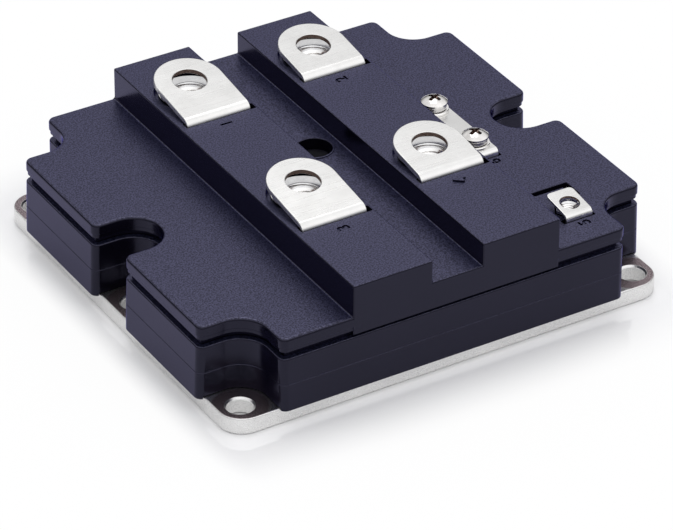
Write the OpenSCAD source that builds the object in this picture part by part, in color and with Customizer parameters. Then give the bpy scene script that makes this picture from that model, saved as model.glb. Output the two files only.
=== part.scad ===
// High-power transistor module: a metal baseplate, a moulded housing frame, a lid
// with two raised ridges, bent bus-bar terminals over captive nuts, and small
// control terminals.  X runs across the ridges, Y along them, Z up from the
// underside of the baseplate.

/* [Baseplate] */
// Overall length of the housing foot, across the ridges
body_l = 140; // [126:0.5:170]
// Overall width of the housing foot, along the ridges
body_w = 130; // [117:0.5:160]
// Thickness of the baseplate
plate_t = 5; // [3:0.5:8]
// Corner radius of the baseplate
plate_corner_r = 7; // [3:0.5:8]
// Diameter of the mounting holes
mount_d = 7; // [5:0.1:8]
// Chamfer at the mouth of each mounting hole
mount_chamfer = 0.6; // [0.2:0.1:1]
// Distance of the mounting holes from the ends of the foot
mount_edge_x = 8; // [7:0.1:12]
// Distance of the end rows of holes from the foot's long sides
mount_edge_y = 8; // [7:0.1:12]

/* [Housing frame] */
// How far the rim stands out past the plate's ends
rim_x = 1.8; // [1:0.1:2.5]
// How far the rim stands out past the plate's long edges
rim_y = 1.4; // [1:0.1:2.5]
// How far the rim laps down over the edge of the plate
rim_drop = 0.7; // [0.3:0.1:1.5]
// Clearance between the rim and the edge of the plate
rim_gap = 0.25; // [0.1:0.05:0.4]
// Height of the housing frame above its sealing bead
wall_h = 15.3; // [12:0.1:24]
// Thickness of the frame's wall below the ledge
wall_t = 4; // [3.6:0.1:5]
// Draft of the ends over the height of the frame
draft_x = 0.5; // [0:0.1:0.8]
// Draft of the long sides over the height of the frame
draft_y = 0.3; // [0:0.1:0.8]
// Radius of the wall round a mounting hole
pocket_r = 8.1; // [7.5:0.1:9]
// Radius of the rounded corners beside each pocket
pocket_round = 2.2; // [1:0.1:3]
// Depth of the ledge that carries the lid, below the top of the frame
ledge_depth = 3.6; // [2:0.1:5]
// Thickness of the sealing bead between frame and baseplate
bead_t = 0.3; // [0.1:0.1:0.6]
// Width of the sealing bead
bead_w = 2.2; // [1:0.1:3]

/* [Lid] */
// Set-back of the lid's ends from the housing foot
lid_inset_x = 0.6; // [0.3:0.1:1]
// Set-back of the lid's long sides from the housing foot
lid_inset_y = 0.2; // [0.1:0.1:1]
// Height of the shadow gap between frame and lid
groove_h = 1.9; // [1:0.1:3]
// Depth of the shadow gap
groove_depth = 1.8; // [1:0.1:2.2]
// Height of the recessed lip along the lid's lower edge
lip_h = 1.3; // [0.5:0.1:2]
// Set-back of that lip
lip_inset = 0.35; // [0.1:0.05:0.8]
// Height of the lid's edge, from its underside to the outer deck
deck_h = 4.4; // [3.5:0.1:7]
// Thickness of the lid under the outer deck
deck_t = 6.2; // [5.6:0.1:7]
// Rise of the valley floor above the outer deck
valley_rise = 2.8; // [1:0.1:5]
// Rise of the ridges above the outer deck
ridge_rise = 9.6; // [8:0.1:14]
// Width of each ridge
ridge_w = 24.35; // [23.8:0.05:26]
// Distance of each ridge's centre line from the middle
ridge_x = 20; // [18.5:0.1:20.5]
// Rounding of the deck's outer edge
deck_round = 0.9; // [0.3:0.1:1.5]
// Rounding of the ridges' top edges
ridge_round = 0.5; // [0.2:0.1:1.5]
// Fillet at the foot of each ridge
foot_fillet = 0.6; // [0.2:0.1:1.5]

/* [Filling port] */
// Place of the port along the valley
port_y = 8.8; // [-8:0.1:12]
// Diameter of the port
port_d = 10; // [6:0.1:12]
// Width of the raised ring round the port
port_ring_w = 0.6; // [0.3:0.1:1]
// Height of that ring
port_ring_h = 0.25; // [0.1:0.05:0.6]
// Depth of the plug below the valley floor
plug_depth = 3.2; // [1:0.1:4]
// Thickness of the plug
plug_t = 2.5; // [1.5:0.1:3]
// Width of the ledge that carries the plug
plug_ledge = 1; // [0.5:0.1:1.5]

/* [Power terminals] */
// Thickness of the bus-bar strip
bar_t = 1.5; // [1:0.1:2]
// Width of each power terminal
bar_w = 20; // [16:0.1:21]
// Diameter of the hole in each tab
bar_hole_d = 9.8; // [8.4:0.1:11]
// Inner radius of the bend
bend_r = 1.2; // [0.8:0.1:2]
// Upward slant of the tabs, in degrees
tab_tilt = 7.8; // [0:0.1:10]
// Air gap under the tab at its bend
tab_lift = 0.35; // [0.1:0.05:1]
// Length of the foot soldered to the substrate
foot_l = 4; // [2:0.5:5]
// Place of the front pair of tab holes
power_front_y = -18.6; // [-22:0.1:-16]
// Spacing between the front and the back tab hole
power_pitch = 61.5; // [56:0.5:64]
// Distance from the tab hole to the leg, collector side
collector_reach = 16.7; // [16:0.1:18]
// Distance from the tab hole to the leg, emitter side
emitter_reach = 12.1; // [12:0.1:15]
// Width of the slot beyond each side of the leg
slot_side = 1.6; // [0.5:0.1:1.6]
// Gap between the leg and the slot's front wall
slot_front = 0.25; // [0.1:0.05:0.5]
// Gap between the leg and the slot's back wall
slot_back = 1; // [0.3:0.1:1]

/* [Power nuts] */
// Diameter of the nut's flange
nut_flange_d = 16.9; // [15.5:0.1:17]
// Thickness of the flange
nut_flange_t = 1.6; // [1:0.1:2.5]
// Width across flats
nut_af = 13; // [12:0.1:13.4]
// Height of the nut
nut_h = 8; // [6.5:0.1:9]
// Tapping diameter of the thread
nut_bore_d = 6.8; // [5:0.1:7]
// Diameter of the countersink's mouth
nut_sink_d = 13.4; // [10.5:0.1:14]
// Diameter of the countersink's floor
nut_sink_floor_d = 9; // [7.2:0.1:10]
// Depth of the countersink
nut_sink_h = 1.8; // [1:0.1:2.5]
// Radial clearance between a nut and its seat
nut_gap = 0.35; // [0.1:0.05:0.4]
// Depth of the bolt's run-out hole below the nut
bolt_runout = 4; // [2:0.5:5]
// Diameter of the run-out hole
bolt_runout_d = 9; // [8.4:0.1:11]

/* [Control terminals] */
// Width of the control strips
strip_w = 8.4; // [7:0.1:9]
// Thickness of the control strips
strip_t = 0.8; // [0.5:0.1:1]
// Inner radius of their bends
strip_bend_r = 0.8; // [0.4:0.1:1]
// Across flats of the small nuts
small_nut_af = 7; // [6.6:0.1:7.4]
// Height of the small nuts
small_nut_h = 3.2; // [2.4:0.1:3.6]
// How far the small nuts stand out of the deck
small_nut_proud = 1.3; // [0.8:0.1:1.6]
// Tapping diameter of the small nuts
small_bore_d = 3.3; // [2.4:0.1:3.4]
// Gap between a strip's leg and its slot
strip_gap = 0.9; // [0.3:0.1:1]
// Distance of the gate terminal's middle from the end of the foot
gate_edge_x = 24.8; // [24.6:0.1:27]
// Distance of the gate terminal's hole from the front of the foot
gate_edge_y = 15.3; // [15.2:0.1:20]
// Distance from the gate hole to the gate leg
gate_reach = 5.25; // [5.2:0.05:5.5]
// Distance from the gate hole to the tab's end
gate_tail = 5.7; // [4.5:0.1:6]
// Diameter of the hole in the gate tab
gate_hole_d = 5.6; // [4.4:0.1:6]
// Corner radius at the end of the gate tab
gate_corner_r = 1.4; // [0.5:0.1:3]
// Gap between the auxiliary bar and the ridge beside it
aux_gap = 3.6; // [1.5:0.1:6]
// Place of the front screw along the ridges
aux_y = -10.7; // [-12:0.1:-4]
// Spacing of the two screws
aux_pitch = 21.1; // [16:0.1:24]
// Distance from the front screw to the bar's leg
aux_reach = 5.7; // [5.2:0.1:9]
// Depth of the creepage trench beside the gate terminal
trench_depth = 4; // [1:0.1:4.2]
// Width of the trench behind the gate terminal
trench_back_w = 1.9; // [1:0.1:2.5]
// Width of the trench beside the gate terminal
trench_side_w = 2.3; // [1:0.1:2.5]
// Gap between the gate tab and the trench behind it
trench_back_gap = 4.7; // [2:0.1:6]
// Gap between the gate tab and the trench beside it
trench_side_gap = 0.8; // [0.5:0.1:1.5]
// Length of the trench beside the gate terminal
trench_side_l = 6.9; // [4:0.1:9]

/* [Screws] */
// Shank diameter of the screws
screw_d = 3.9; // [3:0.1:4]
// Diameter of the screw heads
head_d = 7.5; // [6.5:0.1:8]
// Height of the screw heads
head_h = 2.6; // [2.2:0.1:3.2]
// Length of the screws below the head
screw_l = 10; // [8.5:0.5:12]
// Clearance between the shank and what it passes through
screw_gap = 0.3; // [0.2:0.05:0.5]
// Radial clearance in the thread
thread_gap = 0.05; // [0.02:0.01:0.08]
// Diameter of the flat washers
washer_d = 8.4; // [7.6:0.1:9]
// Thickness of the flat washers
washer_t = 0.8; // [0.4:0.1:1]
// Diameter of the spring washers
spring_d = 7; // [6.2:0.1:7.4]
// Thickness of the spring washers
spring_t = 1.8; // [0.8:0.1:2]
// Width of the split in a spring washer
spring_split = 0.9; // [0.4:0.1:1.2]
// Span of the cross recess
cross_span = 4.4; // [3:0.1:5]
// Width of each arm of the cross recess
cross_w = 1; // [0.7:0.1:1.4]
// Depth of the cross recess
cross_depth = 1.7; // [1:0.1:2]

/* [Substrates] */
// Clearance between the substrates and the walls round the mounting holes
tile_gap_x = 0.4; // [0.2:0.1:0.5]
// Clearance between the substrates and the long walls
tile_gap_y = 6; // [4:0.5:6]
// Split between neighbouring substrates
tile_split = 1; // [0.5:0.1:2]
// Thickness of the ceramic with its copper
tile_t = 1; // [0.6:0.1:1.5]
// Corner radius of the substrates
tile_corner_r = 1.5; // [0.5:0.1:3]
// Side of one transistor chip
chip_w = 9; // [6:0.5:12]
// Thickness of the chips
chip_t = 0.3; // [0.2:0.1:0.6]
// Spacing of the two chips on a substrate
chip_pitch = 14; // [13:0.5:18]
// Shift of the chips on the end rows, away from the terminals' feet
chip_shift = 8.5; // [7:0.1:9]

/* [Hidden] */

$fn = 64;
margin = 0.2;
reach = body_l;
plate_l = body_l - 2 * rim_x;
plate_w = body_w - 2 * rim_y;
mount_x = body_l / 2 - mount_edge_x;
mount_y = body_w / 2 - mount_edge_y;
gate_x = body_l / 2 - gate_edge_x;
gate_y = gate_edge_y - body_w / 2;
aux_x = ridge_x + ridge_w / 2 + aux_gap + strip_w / 2;
rim_z = plate_t - rim_drop;
frame_z = plate_t + bead_t;
frame_top = frame_z + wall_h;
ledge_z = frame_top - ledge_depth;
lid_z = frame_top + groove_h;
deck_z = lid_z + deck_h;
ceiling_z = deck_z - deck_t;
valley_z = deck_z + valley_rise;
ridge_z = deck_z + ridge_rise;
neck_gap = 0.15;
tile_top = plate_t + tile_t;
tile_l = body_l / 2 - mount_edge_x - pocket_r - wall_t - tile_gap_x - tile_split / 2;
tile_w = (body_w - 2 * (wall_t + tile_gap_y) - 2 * tile_split) / 3;
tile_dx = tile_l + tile_split;
tile_dy = tile_w + tile_split;
bend_z = ridge_z + tab_lift - bend_r * cos(tab_tilt);
seat_z = ridge_z - nut_flange_t;
strip_z = deck_z + small_nut_proud;
aux_back_y = aux_y + aux_pitch;
strip_top = strip_z + strip_t;
head_z = strip_top + washer_t + spring_t;
power_back_y = power_front_y + power_pitch;

// ---- shared outlines ----

// The web between a square corner at p and the arc that rounds it; turn points it into the quadrant
module corner_web(p, turn, r)
    translate(p) rotate(turn) difference() {
        translate([-margin, -margin]) square(r + margin);
        translate([r, r]) circle(r);
    }

module rounded_rect(l, w, r)
    difference() {
        square([l, w], center = true);
        for (sx = [-1, 1])
            for (sy = [-1, 1])
                corner_web([sx * l / 2, sy * w / 2], atan2(-sy, -sx) - 45, r);
    }

module four_ways()
    for (fx = [0, 1])
        for (fy = [0, 1])
            mirror([fx, 0]) mirror([0, fy]) children();

// Plan with a round-ended pocket at each mounting hole; inset moves every wall inwards
module plan(hx, hy, inset, round_r)
    difference() {
        square([2 * hx, 2 * hy], center = true);
        four_ways() pocket_quarter(hx, hy, pocket_r + inset, round_r);
    }

module pocket_quarter(hx, hy, r, round_r) {
    translate([mount_x, mount_y]) circle(r);
    translate([mount_x, mount_y - r]) square(reach);
    translate([mount_x - r, mount_y]) square(reach);
    translate([mount_x, 0]) circle(r);
    translate([mount_x, -r]) square([reach, 2 * r]);
    corner_web([hx, mount_y - r], 180, round_r);
    corner_web([mount_x - r, hy], 180, round_r);
    corner_web([hx, r], 90, round_r);
}

// The housing's plan at a given distance inside its foot
module foot_plan(inset)
    plan(body_l / 2 - inset, body_w / 2 - inset, inset, pocket_round);

// Side-on shape, drawn in Y and Z, swept along X
module swept_x(w)
    rotate([90, 0, 90]) linear_extrude(w, center = true) children();

// End-on shape, drawn in X and Z, swept along Y
module swept_y(w)
    rotate([90, 0, 0]) linear_extrude(w, center = true) children();

module hex_prism(af, h)
    cylinder(d = af / cos(30), h = h, $fn = 6);

// ---- baseplate and sealing ----

module mounting_positions()
    for (x = [-1, 1])
        for (y = [-1, 0, 1])
            translate([x * mount_x, y * mount_y]) children();

module baseplate()
    color("gainsboro") difference() {
        linear_extrude(plate_t) rounded_rect(plate_l, plate_w, plate_corner_r);
        mounting_positions() {
            translate([0, 0, -margin]) cylinder(d = mount_d, h = plate_t + 2 * margin);
            translate([0, 0, plate_t - mount_chamfer])
                cylinder(d1 = mount_d, d2 = mount_d + 4 * mount_chamfer, h = 2 * mount_chamfer);
        }
    }

module sealing_bead()
    color("dimgray") translate([0, 0, plate_t]) linear_extrude(bead_t) difference() {
        foot_plan(wall_t - bead_w);
        foot_plan(wall_t);
    }

// ---- housing frame ----

// Upright section of the frame: drafted sides with rounded top edges
module frame_section(half, draft)
    difference() {
        polygon([
            [-half, rim_z], [half, rim_z],
            [half - draft, frame_top], [draft - half, frame_top]
        ]);
        corner_web([half - draft, frame_top], 180, ridge_round);
        corner_web([draft - half, frame_top], 270, ridge_round);
    }

module housing_frame()
    color("darkslategray") difference() {
        intersection() {
            translate([0, 0, rim_z]) linear_extrude(frame_top - rim_z) foot_plan(0);
            swept_y(body_w) frame_section(body_l / 2, draft_x);
            swept_x(body_l) frame_section(body_w / 2, draft_y);
        }
        linear_extrude(frame_top) foot_plan(wall_t);
        translate([0, 0, ledge_z]) linear_extrude(wall_h) foot_plan(groove_depth);
        linear_extrude(frame_z)
            rounded_rect(plate_l + 2 * rim_gap, plate_w + 2 * rim_gap, plate_corner_r + rim_gap);
    }

// ---- lid ----

// End-on section of the lid: two decks, two ridges and the valley between them
module lid_section() {
    hx = body_l / 2 - lid_inset_x;
    inner = ridge_x - ridge_w / 2;
    outer = ridge_x + ridge_w / 2;
    difference() {
        union() {
            translate([-hx, ledge_z]) square([2 * hx, deck_z - ledge_z]);
            translate([-outer, ledge_z]) square([2 * outer, valley_z - ledge_z]);
            for (side = [0, 1]) mirror([side, 0]) {
                translate([inner, ledge_z]) square([ridge_w, ridge_z - ledge_z]);
                corner_web([outer, deck_z], 0, foot_fillet);
                corner_web([inner, valley_z], 90, foot_fillet);
            }
        }
        for (side = [0, 1]) mirror([side, 0]) {
            corner_web([hx, deck_z], 180, deck_round);
            corner_web([outer, ridge_z], 180, ridge_round);
            corner_web([inner, ridge_z], 270, ridge_round);
        }
    }
}

module lid_plan(inset)
    plan(body_l / 2 - lid_inset_x - inset, body_w / 2 - lid_inset_y - inset, inset, pocket_round);

// Everything the lid's outside walls enclose: the edge, the recessed lip and the neck in the frame
module lid_walls() {
    translate([0, 0, lid_z + lip_h]) linear_extrude(ridge_z - lid_z - lip_h) lid_plan(0);
    translate([0, 0, lid_z]) linear_extrude(2 * lip_h) lid_plan(lip_inset);
    translate([0, 0, ledge_z]) linear_extrude(lid_z - ledge_z + lip_h) foot_plan(groove_depth + neck_gap);
}

module leg_slot(w, t, bottom, front, back, side)
    translate([-w / 2 - side, -front, bottom])
        cube([w + 2 * side, t + front + back, reach]);

// Stepped hole for a flanged nut, its hexagon and the end of its bolt
module power_seat() {
    translate([0, 0, seat_z]) cylinder(d = nut_flange_d + 2 * nut_gap, h = reach);
    translate([0, 0, ridge_z - nut_h - nut_gap]) hex_prism(nut_af + 2 * nut_gap, nut_h);
    translate([0, 0, ridge_z - nut_h - bolt_runout]) cylinder(d = bolt_runout_d, h = nut_h);
}

module small_seat(af_gap) {
    translate([0, 0, strip_z - small_nut_h]) hex_prism(small_nut_af + 2 * af_gap, reach);
    translate([0, 0, ceiling_z - margin]) cylinder(d = screw_d + 2 * screw_gap, h = reach);
}

// L-shaped trench behind and beside the gate terminal
module gate_trench() {
    left = gate_x - strip_w / 2;
    right = gate_x + strip_w / 2 + trench_side_gap + trench_side_w;
    front = gate_y + gate_tail + trench_back_gap;
    back = front + trench_back_w;
    translate([0, 0, deck_z - trench_depth]) {
        translate([left, front]) cube([right - left, trench_back_w, reach]);
        translate([right - trench_side_w, back - trench_side_l])
            cube([trench_side_w, trench_side_l, reach]);
    }
}

module filling_port() {
    bore_z = valley_z - plug_depth - plug_t;
    translate([0, port_y, bore_z]) cylinder(d = port_d, h = reach);
    translate([0, port_y, 0]) cylinder(d = port_d - 2 * plug_ledge, h = reach);
}

module lid()
    color("darkslategray") difference() {
        union() {
            intersection() {
                swept_y(body_w) lid_section();
                lid_walls();
            }
            translate([0, port_y, valley_z - margin])
                cylinder(d = port_d + 2 * port_ring_w, h = port_ring_h + margin);
        }
        linear_extrude(ceiling_z) foot_plan(wall_t);
        power_places() power_seat();
        for (y = [power_front_y, power_back_y]) {
            translate([-ridge_x, y - collector_reach])
                leg_slot(bar_w, bar_t, 0, slot_front, slot_back, slot_side);
            translate([ridge_x, y - emitter_reach])
                leg_slot(bar_w, bar_t, 0, slot_front, slot_back, slot_side);
        }
        translate([gate_x, gate_y - gate_reach])
            leg_slot(strip_w, strip_t, 0, slot_front, slot_back, strip_gap);
        translate([aux_x, aux_y - aux_reach])
            leg_slot(strip_w, strip_t, 0, slot_front, slot_back, strip_gap);
        translate([gate_x, gate_y]) small_seat(nut_gap);
        for (y = [aux_y, aux_back_y])
            translate([aux_x, y]) small_seat(nut_gap);
        gate_trench();
        filling_port();
    }

module fill_plug()
    color("slategray") translate([0, port_y, valley_z - plug_depth - plug_t])
        cylinder(d = port_d - 2 * neck_gap, h = plug_t);

// ---- power terminals and nuts ----

module power_places()
    for (x = [-ridge_x, ridge_x])
        for (y = [power_front_y, power_back_y])
            translate([x, y]) children();

// Strip bent from an upright leg on a soldered foot into a slanted tab, drawn about the bend's centre
module strip_section(t, inner_r, tilt, tab_l, leg_l) {
    outer_r = inner_r + t;
    intersection() {
        difference() {
            circle(outer_r);
            circle(inner_r);
        }
        polygon([[0, 0], [-reach, 0], [-reach, reach], reach * [-sin(tilt), cos(tilt)]]);
    }
    rotate(tilt) translate([0, inner_r]) square([tab_l, t]);
    translate([-outer_r, -leg_l]) square([t, leg_l]);
    translate([-outer_r, -leg_l]) square([foot_l, t]);
}

// Terminal with its tab hole over the origin and its leg that far in front of it
module power_terminal(leg_reach) {
    outer_r = bend_r + bar_t;
    bend_y = outer_r - leg_reach;
    hole_s = (-bend_y + (bend_r + bar_t / 2) * sin(tab_tilt)) / cos(tab_tilt);
    translate([0, bend_y, bend_z]) difference() {
        swept_x(bar_w)
            strip_section(bar_t, bend_r, tab_tilt, hole_s + bar_w / 2, bend_z - tile_top);
        rotate([tab_tilt, 0, 0]) translate([0, hole_s, 0]) {
            cylinder(d = bar_hole_d, h = reach);
            linear_extrude(reach) difference() {
                translate([-bar_w, 0]) square([2 * bar_w, bar_w]);
                circle(d = bar_w);
            }
        }
    }
}

module collector(y)
    color("gainsboro") translate([-ridge_x, y]) power_terminal(collector_reach);

module emitter(y)
    color("gainsboro") translate([ridge_x, y]) power_terminal(emitter_reach);

module power_nut(x, y)
    color("silver") translate([x, y, ridge_z]) difference() {
        union() {
            translate([0, 0, -nut_flange_t]) cylinder(d = nut_flange_d, h = nut_flange_t);
            translate([0, 0, -nut_h]) hex_prism(nut_af, nut_h - nut_flange_t / 2);
        }
        translate([0, 0, -nut_h - margin]) cylinder(d = nut_bore_d, h = nut_h + 2 * margin);
        translate([0, 0, -nut_sink_h])
            cylinder(d1 = nut_sink_floor_d, d2 = nut_sink_d, h = nut_sink_h);
    }

// ---- control terminals ----

module strip_leg_and_tab(leg_reach, tab_end)
    let (outer_r = strip_bend_r + strip_t)
        translate([0, outer_r - leg_reach, strip_z - strip_bend_r]) swept_x(strip_w)
            strip_section(strip_t, strip_bend_r, 0, leg_reach - outer_r + tab_end,
                strip_z - strip_bend_r - tile_top);

module gate_terminal()
    color("gainsboro") translate([gate_x, gate_y]) difference() {
        strip_leg_and_tab(gate_reach, gate_tail);
        translate([0, 0, strip_z - margin]) {
            cylinder(d = gate_hole_d, h = reach);
            linear_extrude(reach) {
                corner_web([strip_w / 2, gate_tail], 180, gate_corner_r);
                corner_web([-strip_w / 2, gate_tail], 270, gate_corner_r);
            }
        }
    }

module auxiliary_bar()
    color("gainsboro") translate([aux_x, aux_y]) difference() {
        strip_leg_and_tab(aux_reach, aux_pitch + strip_w / 2);
        translate([0, 0, strip_z - margin]) {
            cylinder(d = screw_d + 2 * screw_gap, h = reach);
            translate([0, aux_pitch]) cylinder(d = screw_d + 2 * screw_gap, h = reach);
            translate([0, aux_pitch]) linear_extrude(reach) difference() {
                translate([-strip_w, 0]) square([2 * strip_w, strip_w]);
                circle(d = strip_w);
            }
        }
    }

module small_nut(x, y)
    color("silver") translate([x, y, strip_z - small_nut_h]) difference() {
        hex_prism(small_nut_af, small_nut_h);
        translate([0, 0, -margin]) cylinder(d = small_bore_d, h = small_nut_h + 2 * margin);
    }

module auxiliary_nut(y)
    color("silver") translate([aux_x, y, strip_z - small_nut_h]) difference() {
        hex_prism(small_nut_af, small_nut_h);
        translate([0, 0, -margin])
            cylinder(d = screw_d + 2 * thread_gap, h = small_nut_h + 2 * margin);
    }

module flat_washer(y)
    color("silver") translate([aux_x, y, strip_top]) linear_extrude(washer_t) difference() {
        circle(d = washer_d);
        circle(d = screw_d + 2 * screw_gap);
    }

module spring_washer(y)
    color("dimgray") translate([aux_x, y, strip_top + washer_t]) linear_extrude(spring_t)
        difference() {
            circle(d = spring_d);
            circle(d = screw_d + 2 * screw_gap);
            rotate(-25) translate([0, -spring_split / 2]) square([spring_d, spring_split]);
        }

// Pan head: an arc over a short straight rim, with a cross recess
module screw(y) {
    rim_h = head_h / 3;
    crown_h = head_h - rim_h;
    crown_r = (pow(head_d / 2, 2) + pow(crown_h, 2)) / (2 * crown_h);
    color("lightgray") translate([aux_x, y, head_z]) difference() {
        union() {
            rotate_extrude() intersection() {
                translate([0, head_h - crown_r]) circle(crown_r);
                square([head_d / 2, head_h]);
            }
            translate([0, 0, -screw_l]) cylinder(d = screw_d, h = screw_l + margin);
        }
        for (turn = [20, 110])
            rotate(turn) translate([-cross_span / 2, -cross_w / 2, head_h - cross_depth])
                cube([cross_span, cross_w, cross_depth + margin]);
    }
}

// ---- substrates inside ----

module tile_positions(shift)
    for (x = [-1, 1])
        for (row = [-1, 0, 1])
            translate([x * tile_dx / 2, row * (tile_dy + shift)]) children();

module substrates()
    color("ivory") tile_positions(0) translate([0, 0, plate_t])
        linear_extrude(tile_t) rounded_rect(tile_l, tile_w, tile_corner_r);

module chips()
    color("darkgray") tile_positions(chip_shift)
        for (side = [-1, 1])
            translate([side * chip_pitch / 2 - chip_w / 2, -chip_w / 2, tile_top])
                cube([chip_w, chip_w, chip_t]);

baseplate();
sealing_bead();
housing_frame();
lid();
fill_plug();
collector(power_front_y);  // collector_front
collector(power_back_y);  // collector_back
emitter(power_front_y);  // emitter_front
emitter(power_back_y);  // emitter_back
power_nut(-ridge_x, power_front_y);  // nut_collector_front
power_nut(-ridge_x, power_back_y);  // nut_collector_back
power_nut(ridge_x, power_front_y);  // nut_emitter_front
power_nut(ridge_x, power_back_y);  // nut_emitter_back
gate_terminal();
small_nut(gate_x, gate_y);  // gate_nut
auxiliary_bar();
auxiliary_nut(aux_y);  // auxiliary_nut_front
auxiliary_nut(aux_back_y);  // auxiliary_nut_back
flat_washer(aux_y);  // flat_washer_front
flat_washer(aux_back_y);  // flat_washer_back
spring_washer(aux_y);  // spring_washer_front
spring_washer(aux_back_y);  // spring_washer_back
screw(aux_y);  // screw_front
screw(aux_back_y);  // screw_back
substrates();
chips();
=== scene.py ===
import math
import random

import bmesh
import bpy
from mathutils import Matrix, Vector, noise

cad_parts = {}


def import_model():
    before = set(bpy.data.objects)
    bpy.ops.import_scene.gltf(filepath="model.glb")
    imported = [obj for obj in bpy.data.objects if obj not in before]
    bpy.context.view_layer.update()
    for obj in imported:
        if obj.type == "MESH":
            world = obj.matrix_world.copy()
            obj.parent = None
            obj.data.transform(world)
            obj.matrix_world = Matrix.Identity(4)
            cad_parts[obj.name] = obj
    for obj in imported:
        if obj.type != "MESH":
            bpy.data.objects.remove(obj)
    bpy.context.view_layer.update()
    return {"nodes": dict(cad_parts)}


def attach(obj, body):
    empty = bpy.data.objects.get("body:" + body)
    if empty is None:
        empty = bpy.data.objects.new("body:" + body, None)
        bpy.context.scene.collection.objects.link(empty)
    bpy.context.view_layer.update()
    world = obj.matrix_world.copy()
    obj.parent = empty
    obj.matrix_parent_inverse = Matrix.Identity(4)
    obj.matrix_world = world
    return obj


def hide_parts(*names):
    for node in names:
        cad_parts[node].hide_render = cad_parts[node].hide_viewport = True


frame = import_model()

# The shapes are drawn in millimetres and scaled to metres when a piece is finished.
MM = 0.001
CORNER_STEPS = 12

# Housing
MOUNT_X, MOUNT_Y = 62.0, 57.0
FOOT_X, FOOT_Y = 70.0, 65.0
POCKET_R, CORNER_R = 8.1, 2.2
WALL_T, LEDGE_INSET, NECK_INSET = 4.0, 1.8, 1.95
RIM_Z, FRAME_Z, LEDGE_Z, FRAME_TOP = 4.3, 5.3, 17.0, 20.6
DRAFT_X, DRAFT_Y = 0.5, 0.3
PARTING_Z = 12.5
PLATE_X, PLATE_Y, PLATE_T, PLATE_R = 68.2, 63.6, 5.0, 7.0

# Lid
LID_X, LID_Y = 69.4, 64.8
LIP_Z, EDGE_Z, DECK_Z, VALLEY_Z, RIDGE_Z = 22.5, 23.8, 26.9, 29.7, 36.5
CEILING_Z = 20.7
RIDGE_X, RIDGE_HALF = 20.0, 12.175
PORT_Y, PORT_R = 8.8, 5.0

# Terminals
FRONT_Y, BACK_Y = -18.6, 42.9
COLLECTOR_REACH, EMITTER_REACH = 16.7, 12.1
BAR_T, BAR_W, BAR_HOLE_R = 1.5, 20.0, 4.9
BEND_R, TILT = 1.2, 7.8
BEND_Z = 35.66
TILE_TOP = 6.0
STRIP_T, STRIP_W, STRIP_BEND_R, STRIP_Z = 0.8, 8.4, 0.8, 28.2
GATE_X, GATE_Y, GATE_REACH, GATE_TAIL = 45.2, -49.7, 5.25, 5.7
AUX_X, AUX_FRONT_Y, AUX_BACK_Y, AUX_REACH = 39.975, -10.7, 10.4, 5.7
SMALL_NUT_AF, SMALL_NUT_H = 7.0, 3.2
NUT_H, FLANGE_R, FLANGE_T, NUT_AF = 8.0, 8.85, 1.6, 13.0
WASHER_Z, SPRING_Z, HEAD_Z = 29.0, 29.8, 31.25


# Camera, in degrees and millimetres
AZIMUTH, ELEVATION, ROLL = -31.376, 33.115, 0.381
AIM, DISTANCE, LENS = (-13.489, -25.41, 15.0), 1180.6, 233.79


# ---------------------------------------------------------------- outlines

def polar(cx, cy, r, start, end, count):
    """Points of an arc, angles in degrees, both ends included."""
    step = math.radians(end - start) / count
    first = math.radians(start)
    return [
        (cx + r * math.cos(first + step * i), cy + r * math.sin(first + step * i))
        for i in range(count + 1)
    ]


def circle(cx, cy, r, count=64):
    return polar(cx, cy, r, 0, 360, count)[:-1]


def hexagon(cx, cy, across_flats):
    return circle(cx, cy, across_flats / 2 / math.cos(math.radians(30)), 6)


def rounded_box(x0, x1, y0, y1, r, count=6):
    loop = polar(x1 - r, y0 + r, r, -90, 0, count)
    loop += polar(x1 - r, y1 - r, r, 0, 90, count)
    loop += polar(x0 + r, y1 - r, r, 90, 180, count)
    loop += polar(x0 + r, y0 + r, r, 180, 270, count)
    return loop


def housing_outline(hx, hy, pocket_r, corner_r):
    """Counter-clockwise plan with a round-ended pocket at each of the six mounting holes."""
    n = CORNER_STEPS
    top = pocket_r + corner_r
    side = MOUNT_Y - pocket_r - corner_r
    back = MOUNT_X - pocket_r - corner_r
    quarter = polar(MOUNT_X, 0, pocket_r, 180, 90, n)
    quarter += polar(hx - corner_r, top, corner_r, -90, 0, n // 2)
    quarter += polar(hx - corner_r, side, corner_r, 0, 90, n // 2)
    quarter += polar(MOUNT_X, MOUNT_Y, pocket_r, 270, 180, n)
    quarter += polar(back, hy - corner_r, corner_r, 0, 90, n // 2)
    loop = list(quarter)
    loop += [(-x, y) for x, y in reversed(quarter[1:])]
    loop += [(-x, -y) for x, y in quarter]
    loop += [(x, -y) for x, y in reversed(quarter[1:])]
    return loop


def offset(loop, distance):
    """The loop with every side moved outwards by a distance."""
    out = []
    for i, (x, y) in enumerate(loop):
        ax, ay = loop[i - 1]
        bx, by = loop[(i + 1) % len(loop)]
        before = Vector((y - ay, ax - x)).normalized()
        after = Vector((by - y, x - bx)).normalized()
        mitre = before + after
        move = mitre * (distance / max(1 + before.dot(after), 0.2))
        out.append((x + move.x, y + move.y))
    return out


def level(loop, z):
    return [(x, y, z) for x, y in loop]


def rounding(z, r, top=True, out=0.0, count=4):
    """Heights and outward offsets of a quarter-round that ends or starts at height z."""
    steps = []
    for i in range(count + 1):
        a = math.pi / 2 * i / count
        if top:
            steps.append((z - r + r * math.sin(a), out - r + r * math.cos(a)))
        else:
            steps.append((z + r - r * math.cos(a), out - r + r * math.sin(a)))
    return steps


# ---------------------------------------------------------------- solids

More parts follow.
